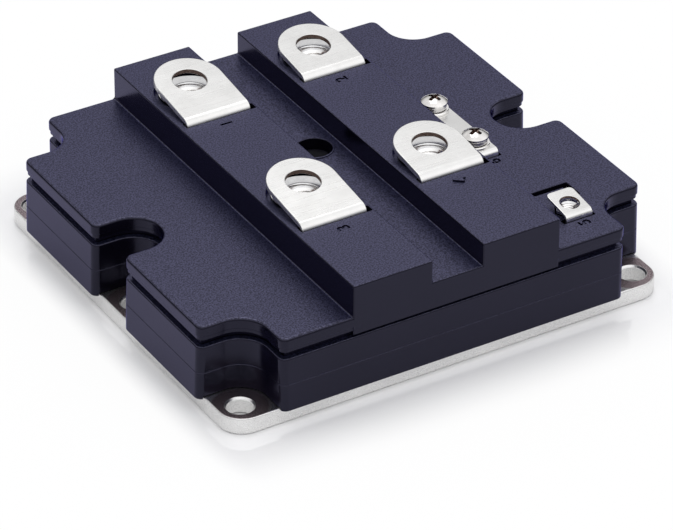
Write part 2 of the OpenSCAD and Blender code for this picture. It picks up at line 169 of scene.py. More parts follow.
def as_object(name, points, faces):
    mesh = bpy.data.meshes.new(name)
    mesh.from_pydata(points, [], faces)
    made = bmesh.new()
    made.from_mesh(mesh)
    bmesh.ops.remove_doubles(made, verts=made.verts, dist=1e-4)
    bmesh.ops.recalc_face_normals(made, faces=made.faces)
    made.to_mesh(mesh)
    made.free()
    obj = bpy.data.objects.new(name, mesh)
    bpy.context.scene.collection.objects.link(obj)
    return obj


def loft(name, rings, capped=True):
    """A solid skinned over rings of equal length: capped at both ends, or closed end to end."""
    n = len(rings[0])
    points = [p for r in rings for p in r]
    faces = []
    pairs = len(rings) - 1 if capped else len(rings)
    for k in range(pairs):
        low, high = k * n, (k + 1) % len(rings) * n
        for i in range(n):
            j = (i + 1) % n
            faces.append((low + i, low + j, high + j, high + i))
    if capped:
        faces.append(tuple(reversed(range(n))))
        faces.append(tuple(range((len(rings) - 1) * n, len(rings) * n)))
    return as_object(name, points, faces)


def stack(name, loop, steps):
    """A solid that follows one outline upwards, moved out or in at each height."""
    return loft(name, [level(offset(loop, out), z) for z, out in steps])


def plain_mesh(obj):
    """Turns an object with modifiers into a plain mesh."""
    bpy.context.view_layer.update()
    graph = bpy.context.evaluated_depsgraph_get()
    mesh = bpy.data.meshes.new_from_object(obj.evaluated_get(graph), depsgraph=graph)
    obj.modifiers.clear()
    old = obj.data
    obj.data = mesh
    if old.users == 0:
        bpy.data.meshes.remove(old)
    return obj


def combine(obj, others, operation):
    for other in others:
        cut = obj.modifiers.new("cut", "BOOLEAN")
        cut.solver = "EXACT"
        cut.operation = operation
        cut.object = other
        plain_mesh(obj)
        bpy.data.objects.remove(other)
    return obj


def carve(obj, *others):
    return combine(obj, others, "DIFFERENCE")


def weld(obj, *others):
    return combine(obj, others, "UNION")


def shade(obj, sharp_angle=34):
    """Smooth shading between sharp edges, with flat faces kept flat."""
    mesh = obj.data
    for face in mesh.polygons:
        face.use_smooth = True
    mesh.set_sharp_from_angle(angle=math.radians(sharp_angle))
    weigh = obj.modifiers.new("flat faces", "WEIGHTED_NORMAL")
    weigh.keep_sharp = True
    weigh.weight = 80
    return plain_mesh(obj)


def keep(obj, materials, nodes, smooth=True):
    """Finishes a piece: scale to metres, shading, materials, and its place on the frame."""
    obj.data.transform(Matrix.Scale(MM, 4))
    if smooth:
        shade(obj)
    obj.data.name = obj.name
    indices = [face.material_index for face in obj.data.polygons]
    obj.data.materials.clear()
    for m in materials:
        obj.data.materials.append(m)
    for face, index in zip(obj.data.polygons, indices):
        face.material_index = min(index, len(materials) - 1)
    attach(obj, "root")
    if nodes:
        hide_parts(*nodes)
    return obj


# ---------------------------------------------------------------- shared node groups

def shader_group(name, outputs, inputs=()):
    tree = bpy.data.node_groups.new(name, "ShaderNodeTree")
    for label, kind, value in inputs:
        made = tree.interface.new_socket(label, in_out="INPUT", socket_type=kind)
        made.default_value = value
    for label, kind in outputs:
        tree.interface.new_socket(label, in_out="OUTPUT", socket_type=kind)
    return tree, tree.nodes.new("NodeGroupInput"), tree.nodes.new("NodeGroupOutput")


def put(tree, kind, links=(), **settings):
    """Adds a node; settings name its properties, and links pair its inputs with sockets or values."""
    node = tree.nodes.new(kind)
    for key, value in settings.items():
        setattr(node, key, value)
    for key, value in links:
        if isinstance(value, bpy.types.NodeSocket):
            tree.links.new(value, node.inputs[key])
        else:
            node.inputs[key].default_value = value
    return node


def sums(tree, operation, a, b, clamp=False):
    node = put(tree, "ShaderNodeMath", [(0, a), (1, b)], operation=operation)
    node.use_clamp = clamp
    return node.outputs[0]


def remap(tree, value, low, high, to_low=0.0, to_high=1.0):
    links = [("Value", value), ("From Min", low), ("From Max", high)]
    links += [("To Min", to_low), ("To Max", to_high)]
    return put(tree, "ShaderNodeMapRange", links).outputs["Result"]


def blend_colour(tree, factor, a, b, mode="MIX"):
    node = put(tree, "ShaderNodeMix", data_type="RGBA", blend_type=mode)
    for index, value in ((0, factor), (6, a), (7, b)):
        if isinstance(value, bpy.types.NodeSocket):
            tree.links.new(value, node.inputs[index])
        else:
            node.inputs[index].default_value = value
    return node.outputs[2]


def speckle_group():
    """Fine grain of a spark-eroded mould: a height and a light-and-dark speckle."""
    tree, given, result = shader_group(
        "mould_grain",
        [("Height", "NodeSocketFloat"), ("Speckle", "NodeSocketFloat")],
        [("Scale", "NodeSocketFloat", 2600.0)],
    )
    place = put(tree, "ShaderNodeTexCoord").outputs["Object"]
    fine = put(
        tree,
        "ShaderNodeTexNoise",
        [("Vector", place), ("Scale", given.outputs["Scale"]), ("Detail", 2.0), ("Roughness", 0.6)],
    )
    double = sums(tree, "MULTIPLY", given.outputs["Scale"], 0.45)
    coarse = put(
        tree,
        "ShaderNodeTexNoise",
        [("Vector", place), ("Scale", double), ("Detail", 1.0)],
    )
    height = sums(tree, "ADD", fine.outputs[0], coarse.outputs[0])
    tree.links.new(height, result.inputs["Height"])
    tree.links.new(remap(tree, fine.outputs[0], 0.4, 0.6), result.inputs["Speckle"])
    return tree


def mottle_group():
    """Soft, slow colour variation in two sizes, from 0 to 1."""
    tree, given, result = shader_group(
        "soft_mottle",
        [("Value", "NodeSocketFloat")],
        [("Scale", "NodeSocketFloat", 60.0)],
    )
    place = put(tree, "ShaderNodeTexCoord").outputs["Object"]
    slow = put(
        tree,
        "ShaderNodeTexNoise",
        [("Vector", place), ("Scale", given.outputs["Scale"]), ("Detail", 4.0)],
    )
    tree.links.new(remap(tree, slow.outputs[0], 0.35, 0.65), result.inputs["Value"])
    return tree


def brush_group():
    """Long fine scratches along one direction, from 0 to 1."""
    tree, given, result = shader_group(
        "brushed_lines",
        [("Value", "NodeSocketFloat")],
        [("Stretch", "NodeSocketVector", (4000.0, 150.0, 4000.0))],
    )
    place = put(tree, "ShaderNodeTexCoord").outputs["Object"]
    scaled = put(
        tree,
        "ShaderNodeVectorMath",
        [(0, place), (1, given.outputs["Stretch"])],
        operation="MULTIPLY",
    )
    lines = put(
        tree,
        "ShaderNodeTexNoise",
        [("Vector", scaled.outputs[0]), ("Scale", 1.0), ("Detail", 3.0), ("Roughness", 0.7)],
    )
    tree.links.new(remap(tree, lines.outputs[0], 0.3, 0.7), result.inputs["Value"])
    return tree


def edge_highlight_group():
    """Painted highlight on sharp convex edges, from 0 on faces to 1 on the edges."""
    tree, given, result = shader_group("painted_edge_highlight", [("Value", "NodeSocketFloat")])
    point = put(tree, "ShaderNodeNewGeometry").outputs["Pointiness"]
    tree.links.new(remap(tree, point, 0.52, 0.58), result.inputs["Value"])
    return tree


GRAIN = speckle_group()
MOTTLE = mottle_group()
BRUSH = brush_group()
EDGE_HIGHLIGHT = edge_highlight_group()


def use_group(tree, group, **inputs):
    node = tree.nodes.new("ShaderNodeGroup")
    node.node_tree = group
    for key, value in inputs.items():
        node.inputs[key].default_value = value
    return node


def bump(tree, height, strength, distance):
    links = [("Height", height), ("Strength", strength), ("Distance", distance)]
    return put(tree, "ShaderNodeBump", links).outputs["Normal"]


def new_material(name):
    material = bpy.data.materials.new(name)
    material.use_nodes = True
    tree = material.node_tree
    return material, tree, tree.nodes["Principled BSDF"]


def up_facing(tree):
    """1 where a surface faces up, 0 on the sides."""
    normal = put(tree, "ShaderNodeNewGeometry").outputs["True Normal"]
    z = put(tree, "ShaderNodeSeparateXYZ", [("Vector", normal)]).outputs["Z"]
    return remap(tree, z, 0.6, 0.95)


# ---------------------------------------------------------------- materials

def moulding_material():
    material, tree, shader = new_material("dark_blue_moulding")
    up = up_facing(tree)
    grain = use_group(tree, GRAIN, Scale=2300.0)
    mottle = use_group(tree, MOTTLE, Scale=45.0)
    speck = grain.outputs["Speckle"]
    # The sides get a darker colour than the tops of the same plastic: painted shade on the sides.
    side = blend_colour(tree, mottle.outputs[0], (0.002, 0.0018, 0.004, 1), (0.0035, 0.003, 0.006, 1))
    top = blend_colour(tree, speck, (0.001, 0.0015, 0.004, 1), (0.012, 0.014, 0.026, 1))
    tree.links.new(blend_colour(tree, up, side, top), shader.inputs["Base Color"])
    rough = remap(tree, up, 0.0, 1.0, 0.22, 0.36)
    varied = sums(tree, "ADD", rough, remap(tree, mottle.outputs[0], 0, 1, -0.02, 0.02))
    tree.links.new(varied, shader.inputs["Roughness"])
    strength = remap(tree, up, 0.0, 1.0, 0.08, 0.6)
    tree.links.new(bump(tree, grain.outputs["Height"], strength, 0.00008), shader.inputs["Normal"])
    gloss = remap(tree, speck, 0.0, 1.0, 0.55, 1.5)
    level = put(tree, "ShaderNodeMix", [(0, up), (2, 0.34), (3, gloss)]).outputs[0]
    tree.links.new(level, shader.inputs["Specular IOR Level"])
    shader.inputs["Specular Tint"].default_value = (0.80, 0.80, 1.0, 1)
    shader.inputs["Coat Weight"].default_value = 1.0
    shader.inputs["Coat IOR"].default_value = 1.0
    shader.inputs["Coat Tint"].default_value = (0.87, 0.86, 1.0, 1)
    return material


def plate_material():
    """Satin nickel; in the screw pockets the plating is coarser and darker in blotches; the bore walls are painted
    near-white, painted light.
    """
    material, tree, shader = new_material("nickel_plated_base")
    grain = use_group(tree, GRAIN, Scale=3200.0)
    mottle = use_group(tree, MOTTLE, Scale=70.0)
    speck = grain.outputs["Speckle"]
    tone = blend_colour(tree, mottle.outputs[0], (0.75, 0.745, 0.735, 1), (0.82, 0.815, 0.80, 1))
    # In the screw pockets the plate top turns darker and blotchy, and its plating coarser.
    pocket_blotch_colour = blend_colour(tree, speck, (0.06, 0.042, 0.045, 1), (0.46, 0.38, 0.40, 1))
    place = put(tree, "ShaderNodeTexCoord").outputs["Object"]
    near = put(tree, "ShaderNodeVectorMath", [(0, place)], operation="ABSOLUTE").outputs[0]
    axes = put(tree, "ShaderNodeSeparateXYZ", [("Vector", near)]).outputs
    corner = sums(tree, "GREATER_THAN", axes["Y"], MOUNT_Y / 2 * MM)
    row = sums(tree, "SUBTRACT", axes["Y"], sums(tree, "MULTIPLY", corner, MOUNT_Y * MM))
    column = sums(tree, "SUBTRACT", axes["X"], MOUNT_X * MM)
    away = put(tree, "ShaderNodeCombineXYZ", [("X", column), ("Y", row)]).outputs[0]
    distance = put(tree, "ShaderNodeVectorMath", [(0, away)], operation="LENGTH").outputs["Value"]
    pocket = remap(tree, distance, 0.0074, 0.0084, 1.0, 0.0)
    outside = remap(tree, distance, 0.0040, 0.0043, 0.0, 1.0)
    level = remap(tree, axes["Z"], 0.0049, 0.00499, 0.0, 1.0)
    pocket_blotch_mask = sums(tree, "MULTIPLY", sums(tree, "MULTIPLY", pocket, outside), level)
    # The bore walls are painted near-white and almost non-metallic: painted light inside the holes.
    painted_bright_bore = sums(tree, "LESS_THAN", distance, 0.00365)
    coloured = blend_colour(tree, pocket_blotch_mask, tone, pocket_blotch_colour)
    colour = blend_colour(tree, painted_bright_bore, coloured, (0.95, 0.945, 0.93, 1))
    tree.links.new(colour, shader.inputs["Base Color"])
    tree.links.new(remap(tree, painted_bright_bore, 0, 1, 1.0, 0.15), shader.inputs["Metallic"])
    rough = sums(tree, "ADD", remap(tree, speck, 0, 1, 0.26, 0.33), sums(tree, "MULTIPLY", pocket_blotch_mask, 0.1))
    tree.links.new(rough, shader.inputs["Roughness"])
    rise = sums(tree, "ADD", 0.04, sums(tree, "MULTIPLY", pocket_blotch_mask, 0.5))
    tree.links.new(bump(tree, grain.outputs["Height"], rise, 0.00005), shader.inputs["Normal"])
    return material


def bar_material():
    material, tree, shader = new_material("nickel_plated_bar")
    brush = use_group(tree, BRUSH, Stretch=(35.0, 2600.0, 2600.0))
    mottle = use_group(tree, MOTTLE, Scale=160.0)
    tone = blend_colour(tree, mottle.outputs[0], (0.78, 0.775, 0.755, 1), (0.85, 0.845, 0.825, 1))
    tree.links.new(tone, shader.inputs["Base Color"])
    shader.inputs["Metallic"].default_value = 1.0
    tree.links.new(remap(tree, brush.outputs[0], 0, 1, 0.25, 0.33), shader.inputs["Roughness"])
    tree.links.new(bump(tree, brush.outputs[0], 0.06, 0.00002), shader.inputs["Normal"])
    return material


def copper_material():
    material, tree, shader = new_material("bare_cut_copper")
    brush = use_group(tree, BRUSH, Stretch=(900.0, 900.0, 5000.0))
    tone = blend_colour(tree, brush.outputs[0], (0.10, 0.065, 0.055, 1), (0.30, 0.22, 0.19, 1))
    tree.links.new(tone, shader.inputs["Base Color"])
    shader.inputs["Metallic"].default_value = 1.0
    tree.links.new(remap(tree, brush.outputs[0], 0, 1, 0.35, 0.55), shader.inputs["Roughness"])
    return material


def steel_material(name, low, high, rough_low, rough_high):
    material, tree, shader = new_material(name)
    mottle = use_group(tree, MOTTLE, Scale=500.0)
    edge_highlight = use_group(tree, EDGE_HIGHLIGHT)
    tone = blend_colour(tree, mottle.outputs[0], low, high)
    # Convex edges are blended towards near-white: a painted highlight.
    highlighted = blend_colour(tree, edge_highlight.outputs[0], tone, (0.92, 0.91, 0.89, 1))
    tree.links.new(highlighted, shader.inputs["Base Color"])
    shader.inputs["Metallic"].default_value = 1.0
    tree.links.new(
        remap(tree, mottle.outputs[0], 0, 1, rough_low, rough_high), shader.inputs["Roughness"]
    )
    return material


def sealant_material():
    material, tree, shader = new_material("dark_sealant")
    grain = use_group(tree, GRAIN, Scale=900.0)
    tone = blend_colour(tree, grain.outputs["Speckle"], (0.02, 0.018, 0.018, 1), (0.10, 0.09, 0.09, 1))
    tree.links.new(tone, shader.inputs["Base Color"])
    shader.inputs["Roughness"].default_value = 0.6
    tree.links.new(bump(tree, grain.outputs["Height"], 0.6, 0.0002), shader.inputs["Normal"])
    return material


def plug_material():
    material, tree, shader = new_material("port_plug")
    mottle = use_group(tree, MOTTLE, Scale=400.0)
    tone = blend_colour(tree, mottle.outputs[0], (0.002, 0.002, 0.004, 1), (0.008, 0.008, 0.012, 1))
    tree.links.new(tone, shader.inputs["Base Color"])
    tree.links.new(remap(tree, mottle.outputs[0], 0, 1, 0.25, 0.4), shader.inputs["Roughness"])
    shader.inputs["Specular IOR Level"].default_value = 0.25
    return material


def ceramic_material():
    material, tree, shader = new_material("copper_clad_ceramic")
    grain = use_group(tree, GRAIN, Scale=1200.0)
    mottle = use_group(tree, MOTTLE, Scale=90.0)
    clad = blend_colour(tree, mottle.outputs[0], (0.62, 0.33, 0.20, 1), (0.74, 0.44, 0.28, 1))
    up = up_facing(tree)
    tree.links.new(
        blend_colour(tree, up, (0.80, 0.78, 0.72, 1), clad), shader.inputs["Base Color"]
    )
    tree.links.new(up, shader.inputs["Metallic"])
    tree.links.new(remap(tree, grain.outputs[1], 0, 1, 0.35, 0.5), shader.inputs["Roughness"])
    return material


def silicon_material():
    material, tree, shader = new_material("chip_silicon")
    mottle = use_group(tree, MOTTLE, Scale=300.0)
    tone = blend_colour(tree, mottle.outputs[0], (0.22, 0.23, 0.27, 1), (0.34, 0.35, 0.40, 1))
    tree.links.new(tone, shader.inputs["Base Color"])
    tree.links.new(remap(tree, mottle.outputs[0], 0, 1, 0.12, 0.2), shader.inputs["Roughness"])
    return material


MOULDING = moulding_material()
PLATE = plate_material()
BAR = bar_material()
COPPER = copper_material()
NUT_STEEL = steel_material(
    "zinc_plated_nut", (0.66, 0.66, 0.66, 1), (0.82, 0.82, 0.81, 1), 0.12, 0.2
)
SCREW_STEEL = steel_material(
    "bright_screw", (0.74, 0.72, 0.69, 1), (0.88, 0.86, 0.83, 1), 0.12, 0.22
)
# The screw recess gets a dark brown colour: painted shade inside the recess.
SHADED_RECESS_STEEL = steel_material(
    "screw_recess_painted_shade", (0.10, 0.065, 0.055, 1), (0.28, 0.20, 0.17, 1), 0.25, 0.4
)
SPRING_STEEL = steel_material(
    "dark_spring_steel", (0.05, 0.035, 0.03, 1), (0.14, 0.10, 0.085, 1), 0.25, 0.4
)
SEALANT = sealant_material()
PLUG = plug_material()


# ---------------------------------------------------------------- baseplate and housing

def bore(x, y, r, low, high, flare):
    """Cutter for a round hole with a rounded mouth at both faces."""
    count = 3
    steps = [(low - 1, flare)]
    for i in range(count + 1):
        a = math.pi / 2 * i / count
        steps.append((low + flare * math.sin(a), flare * (1 - math.sin(a))))
    for i in range(count + 1):
        a = math.pi / 2 * i / count
        steps.append((high - flare * math.cos(a), flare * (1 - math.cos(a))))
    steps.append((high + 1, flare))
    return stack("bore", circle(x, y, r), steps)


def mouth_cutter(loop, low, high, flare):
    """Cutter for a sunk seat or trench whose rim at height `high` is rounded."""
    count = 3
    steps = [(low, 0.0)]
    for i in range(count + 1):
        a = math.pi / 2 * i / count
        steps.append((high - flare * math.cos(a), flare * (1 - math.cos(a))))
    steps.append((high + 4, flare))
    return stack("mouth", loop, steps)


def baseplate():
    outline = rounded_box(-PLATE_X, PLATE_X, -PLATE_Y, PLATE_Y, PLATE_R, 12)
    steps = rounding(0, 0.6, False) + rounding(PLATE_T, 0.45)
    obj = stack("base_plate", outline, steps)
    for x in (-MOUNT_X, MOUNT_X):
        for y in (-MOUNT_Y, 0, MOUNT_Y):
            carve(obj, bore(x, y, 3.5, 0, PLATE_T, 0.6))
    return keep(obj, [PLATE], ["baseplate"])


def frame_ring(z, inset):
    rise = (z - RIM_Z) / (FRAME_TOP - RIM_Z)
    hx = FOOT_X - DRAFT_X * rise - inset
    hy = FOOT_Y - DRAFT_Y * rise - inset
    return level(housing_outline(hx, hy, POCKET_R + inset, max(CORNER_R - inset, 0.3)), z)


def housing_frame():
    steps = [(RIM_Z, 0.2), (RIM_Z + 0.06, 0.06), (RIM_Z + 0.2, 0)]
    steps += [(PARTING_Z - 0.14, 0), (PARTING_Z, 0.13), (PARTING_Z + 0.14, 0)]
    steps += [(z, -out) for z, out in rounding(FRAME_TOP, 0.5)]
    steps += [(FRAME_TOP, LEDGE_INSET - 0.15), (FRAME_TOP - 0.05, LEDGE_INSET - 0.04)]
    steps += [(FRAME_TOP - 0.15, LEDGE_INSET), (LEDGE_Z, LEDGE_INSET)]
    steps += [(LEDGE_Z, WALL_T), (RIM_Z, WALL_T)]
    obj = loft("housing_wall", [frame_ring(z, inset) for z, inset in steps], capped=False)
    gap = 0.25
    under = rounded_box(
        -PLATE_X - gap, PLATE_X + gap, -PLATE_Y - gap, PLATE_Y + gap, PLATE_R + gap, 12
    )
    carve(obj, stack("under", under, [(RIM_Z - 2, 0), (FRAME_Z, 0)]))
    return keep(obj, [MOULDING], ["housing_frame"])


def lid_ring(z, inset):
    loop = housing_outline(
        LID_X - inset, LID_Y - inset, POCKET_R + inset, max(CORNER_R - inset, 0.3)
    )
    return level(loop, z)


def foot_ring(z, inset):
    loop = housing_outline(
        FOOT_X - inset, FOOT_Y - inset, POCKET_R + inset, max(CORNER_R - inset, 0.3)
    )
    return level(loop, z)


def lid_slab():
    lip = 0.35
    rings = [foot_ring(CEILING_Z, WALL_T), foot_ring(LEDGE_Z, WALL_T)]
    rings += [foot_ring(LEDGE_Z, NECK_INSET), foot_ring(LIP_Z, NECK_INSET)]
    rings += [lid_ring(LIP_Z, lip + 0.12), lid_ring(LIP_Z + 0.12, lip), lid_ring(EDGE_Z, lip)]
    rings += [lid_ring(z, -out) for z, out in rounding(EDGE_Z, 0.2, False, 0, 3)]
    rings += [lid_ring(z, -out) for z, out in rounding(DECK_Z, 0.9, True, 0, 6)]
    return loft("lid_moulding", rings)


def ridges():
    """Both ridges and the valley between them, with rounded ends and filleted feet."""
    inner, outer = RIDGE_X - RIDGE_HALF, RIDGE_X + RIDGE_HALF
    low = LIP_Z - 1
    right = [(outer, low), (outer, RIDGE_Z), (inner, RIDGE_Z), (inner, VALLEY_Z)]
    section = right + [(-x, z) for x, z in reversed(right)]
    ends = [[(x, y, z) for x, z in section] for y in (-LID_Y, LID_Y)]
    obj = loft("ridges", ends)
    shape = bmesh.new()
    shape.from_mesh(obj.data)
    edges = [
        e
        for e in shape.edges
        if max(v.co.z for v in e.verts) > DECK_Z and e.calc_face_angle(0) > 0.5
    ]
    bmesh.ops.bevel(
        shape,
        geom=edges,
        offset=0.5,
        segments=4,
        profile=0.5,
        affect="EDGES",
        clamp_overlap=False,
    )
    shape.to_mesh(obj.data)
    shape.free()
    return obj


def foot_fillets():
    """The fillets where the ridges' outer faces meet the deck."""
    r, outer = 0.6, RIDGE_X + RIDGE_HALF
    made = []
    for side in (-1, 1):
        arc = [
            (outer + r - r * math.cos(math.radians(t)), DECK_Z + r - r * math.sin(math.radians(t)) - 0.006)
            for t in range(0, 91, 15)
        ]
        section = arc + [(outer + r, DECK_Z - 2), (outer - 1, DECK_Z - 2), (outer - 1, DECK_Z + r)]
        end = LID_Y - 0.35
        rings = [[(side * x, y, z) for x, z in section] for y in (-end, end)]
        made.append(loft("fillet", rings))
    return made


def slot(x, y, w, t, left, right):
    front, back = 0.25, 1.0
    return rounded_box(x - w / 2 - left, x + w / 2 + right, y - front, y + t + back, 0.3, 3)


def gate_trench_outline():
    left, right = GATE_X - STRIP_W / 2, GATE_X + STRIP_W / 2 + 0.8 + 2.3
    front = GATE_Y + GATE_TAIL + 4.7
    back = front + 1.9
    side = right - 2.3
    near = back - 6.9
    r = 0.35
    loop = polar(side + r, near + r, r, 180, 270, 3)
    loop += polar(right - r, near + r, r, -90, 0, 3)
    loop += polar(right - r, back - r, r, 0, 90, 3)
    loop += polar(left + r, back - r, r, 90, 180, 3)
    loop += polar(left + r, front + r, r, 180, 270, 3)
    loop += [(side, front)]
    return loop


def seat_cutters():
    cutters = []
    for x, reach in ((-RIDGE_X, COLLECTOR_REACH), (RIDGE_X, EMITTER_REACH)):
        for y in (FRONT_Y, BACK_Y):
            cutters.append(mouth_cutter(circle(x, y, FLANGE_R + 1.1), RIDGE_Z - FLANGE_T, RIDGE_Z, 0.15))
            hexed = hexagon(x, y, NUT_AF + 0.7)
            cutters.append(stack("hex", hexed, [(RIDGE_Z - 8.35, 0), (RIDGE_Z + 1, 0)]))
            cutters.append(stack("run", circle(x, y, 4.5, 32), [(RIDGE_Z - 12, 0), (RIDGE_Z - 3, 0)]))
            loop = slot(x, y - reach, BAR_W, BAR_T, 0.4, 1.6)
            cutters.append(stack("slot", loop, [(CEILING_Z - 4, 0), (RIDGE_Z + 4, 0)]))
    for x, y, reach in ((GATE_X, GATE_Y, GATE_REACH), (AUX_X, AUX_FRONT_Y, AUX_REACH)):
        loop = slot(x, y - reach, STRIP_W, STRIP_T, 0.9, 0.9)
        cutters.append(stack("slot", loop, [(CEILING_Z - 4, 0), (DECK_Z + 4, 0)]))
    for x, y in ((GATE_X, GATE_Y), (AUX_X, AUX_FRONT_Y), (AUX_X, AUX_BACK_Y)):
        loop = hexagon(x, y, SMALL_NUT_AF + 0.7)
        cutters.append(stack("hex", loop, [(STRIP_Z - SMALL_NUT_H, 0), (DECK_Z + 4, 0)]))
        loop = circle(x, y, 2.25, 32)
        cutters.append(stack("run", loop, [(CEILING_Z - 1, 0), (STRIP_Z - 2, 0)]))
    return cutters


def number(mark, x, y, z):
    """Cutter for one engraved number that is read from the left side."""
    curve = bpy.data.curves.new("number", "FONT")
    curve.body = mark
    curve.size = 4.9
    curve.extrude = 0.5
    curve.offset = 0.14
    curve.resolution_u = 4
    curve.align_x = "CENTER"
    curve.align_y = "CENTER"
    text = bpy.data.objects.new("number", curve)
    bpy.context.scene.collection.objects.link(text)
    bpy.context.view_layer.update()
    graph = bpy.context.evaluated_depsgraph_get()
    mesh = bpy.data.meshes.new_from_object(text.evaluated_get(graph), depsgraph=graph)
    bpy.data.objects.remove(text)
    mesh.transform(Matrix.Translation((x, y, z)) @ Matrix.Rotation(math.pi / 2, 4, "Z"))
    return as_object("number", [v.co[:] for v in mesh.vertices], [f.vertices[:] for f in mesh.polygons])


def lid():
    obj = weld(lid_slab(), ridges(), *foot_fillets())
    ring = stack(
        "ring", circle(0, PORT_Y, PORT_R + 0.6), [(VALLEY_Z - 1, 0)] + rounding(VALLEY_Z + 0.25, 0.12, True, 0, 2)
    )
    weld(obj, ring)
    carve(obj, *seat_cutters())
    carve(obj, mouth_cutter(gate_trench_outline(), DECK_Z - 4, DECK_Z, 0.15))
    carve(obj, mouth_cutter(circle(0, PORT_Y, PORT_R), 24.0, VALLEY_Z + 0.25, 0.15))
    carve(obj, stack("port", circle(0, PORT_Y, 4.0), [(CEILING_Z - 2, 0), (25, 0)]))
    for mark, x, y, z in (
        ("1", -19.6, 22.8, RIDGE_Z),
        ("2", 19.9, 27.1, RIDGE_Z),
        ("3", -19.6, -39.0, RIDGE_Z),
        ("4", 19.8, -34.8, RIDGE_Z),
        ("5", 45.5, -57.0, DECK_Z),
        ("6", 41.7, -18.5, DECK_Z),
    ):
        carve(obj, number(mark, x, y, z))
    return keep(obj, [MOULDING], ["lid"])


def fill_plug():
    rings = []
    for z, r in ((24.0, 4.5), (24.15, 4.85), (26.3, 4.85), (26.5, 4.7), (26.42, 4.3)):
        rings.append(level(circle(0, PORT_Y, r), z))
    for r in (3.4, 2.4, 1.4, 0.5):
        rings.append(level(circle(0, PORT_Y, r), 26.0 + 0.3 * (r / 4.3) ** 2))
    return keep(loft("port_stopper", rings), [PLUG], ["fill_plug"])


def sealing_bead():
    """Ragged bead of sealant squeezed between frame and plate."""
    rings = []
    for z, inset, rough in ((5.01, 1.2, 0.35), (5.15, 0.9, 0.3), (5.295, 1.1, 0.2)):
        ring = []
        for x, y, _ in frame_ring(FRAME_Z, inset):
            push = noise.noise(Vector((x * 0.9, y * 0.9, z * 3))) * rough
            length = math.hypot(x, y)
            ring.append((x * (1 + push / length), y * (1 + push / length), z))
        rings.append(ring)
    rings += [frame_ring(5.295, WALL_T), frame_ring(5.01, WALL_T)]
    return keep(loft("sealant_bead", rings, False), [SEALANT], ["sealing_bead"])


# ---------------------------------------------------------------- bent terminals

def bend_strip(obj, thickness, inner_r, tilt, flat, leg, foot):
    """Bends a flat strip: the tab stays, then comes the bend, the leg and the foot.

    The flat strip lies along y with its hole at y = 0; `flat` is the length from the hole to the bend.
    The place returned is measured from the bend's centre.
    """
    middle = inner_r + thickness / 2
    arc = math.radians(90 - tilt) * middle
    foot_r = 0.4
    foot_arc = math.radians(90) * (foot_r + thickness / 2)
    straight = leg - foot_r - thickness
    cuts = [-flat - arc * i / 8 for i in range(9)]
    start = -flat - arc - straight
    cuts += [start - foot_arc * i / 4 for i in range(5)]
    shape = bmesh.new()
    shape.from_mesh(obj.data)
    for y in cuts:
        every = list(shape.verts) + list(shape.edges) + list(shape.faces)
        bmesh.ops.bisect_plane(
            shape, geom=every, dist=1e-5, plane_co=(0, y, 0), plane_no=(0, 1, 0)
        )
    lean = math.radians(tilt)
    for v in shape.verts:
        x, y, t = v.co
        s = -flat - y
        if s <= 0:
            r = inner_r + t
            place = (-s * math.cos(lean) - r * math.sin(lean), -s * math.sin(lean) + r * math.cos(lean))
        elif s <= arc:
            a = math.radians(90 + tilt) + s / middle
            place = ((inner_r + t) * math.cos(a), (inner_r + t) * math.sin(a))
        elif s <= arc + straight:
            place = (-inner_r - t, arc - s)
        elif s <= arc + straight + foot_arc:
            a = math.pi + (s - arc - straight) / (foot_r + thickness / 2)
            r = foot_r + t
            place = (-inner_r + foot_r + r * math.cos(a), -straight + r * math.sin(a))
        else:
            more = s - arc - straight - foot_arc
            place = (-inner_r + foot_r + more, -straight - foot_r - t)
        v.co = (x, place[0], place[1])
    shape.to_mesh(obj.data)
    shape.free()
    return obj


def mark_bare_holes(obj, holes, r):
    """Second material on the walls of the punched holes."""
    for face in obj.data.polygons:
        c = face.center
        near = min(abs(math.hypot(c.x - x, c.y - y) - r) for x, y in holes)
        face.material_index = 1 if near < 0.12 and abs(face.normal.z) < 0.6 else 0


def power_terminal(name, x, y, reach, node):
    lean = math.radians(TILT)
    outer = BEND_R + BAR_T
    bend_y = outer - reach
    flat = (-bend_y + (BEND_R + BAR_T / 2) * math.sin(lean)) / math.cos(lean)
    leg = BEND_Z - TILE_TOP
    length = flat + leg + 3.2 + 4.0
    half = BAR_W / 2
    loop = [(-half, -length), (half, -length)] + polar(0, 0, half, 0, 180, 40)
    steps = rounding(0, 0.12, False, 0, 2) + rounding(BAR_T, 0.22, True, 0, 3)
    obj = stack(name, loop, steps)
    carve(obj, bore(0, 0, BAR_HOLE_R, 0, BAR_T, 0.12))
    mark_bare_holes(obj, [(0, 0)], BAR_HOLE_R)
    bend_strip(obj, BAR_T, BEND_R, TILT, flat, leg, 4.0)
    obj.data.transform(Matrix.Translation((x, y + bend_y, BEND_Z)))
    return keep(obj, [BAR, COPPER], [node])


def control_strip(name, x, y, reach, tilt, loop, holes, hole_r, node):
    outer = STRIP_BEND_R + STRIP_T
    flat = reach - outer
    leg = STRIP_Z - STRIP_BEND_R - TILE_TOP
    steps = rounding(0, 0.08, False, 0, 2) + rounding(STRIP_T, 0.14, True, 0, 2)
    obj = stack(name, loop, steps)
    for hole in holes:
        carve(obj, bore(hole[0], hole[1], hole_r, 0, STRIP_T, 0.08))
    mark_bare_holes(obj, holes, hole_r)
    bend_strip(obj, STRIP_T, STRIP_BEND_R, tilt, flat, leg, 4.0)
    obj.data.transform(Matrix.Translation((x, y - flat, STRIP_Z - STRIP_BEND_R)))
    return keep(obj, [BAR, COPPER], [node])


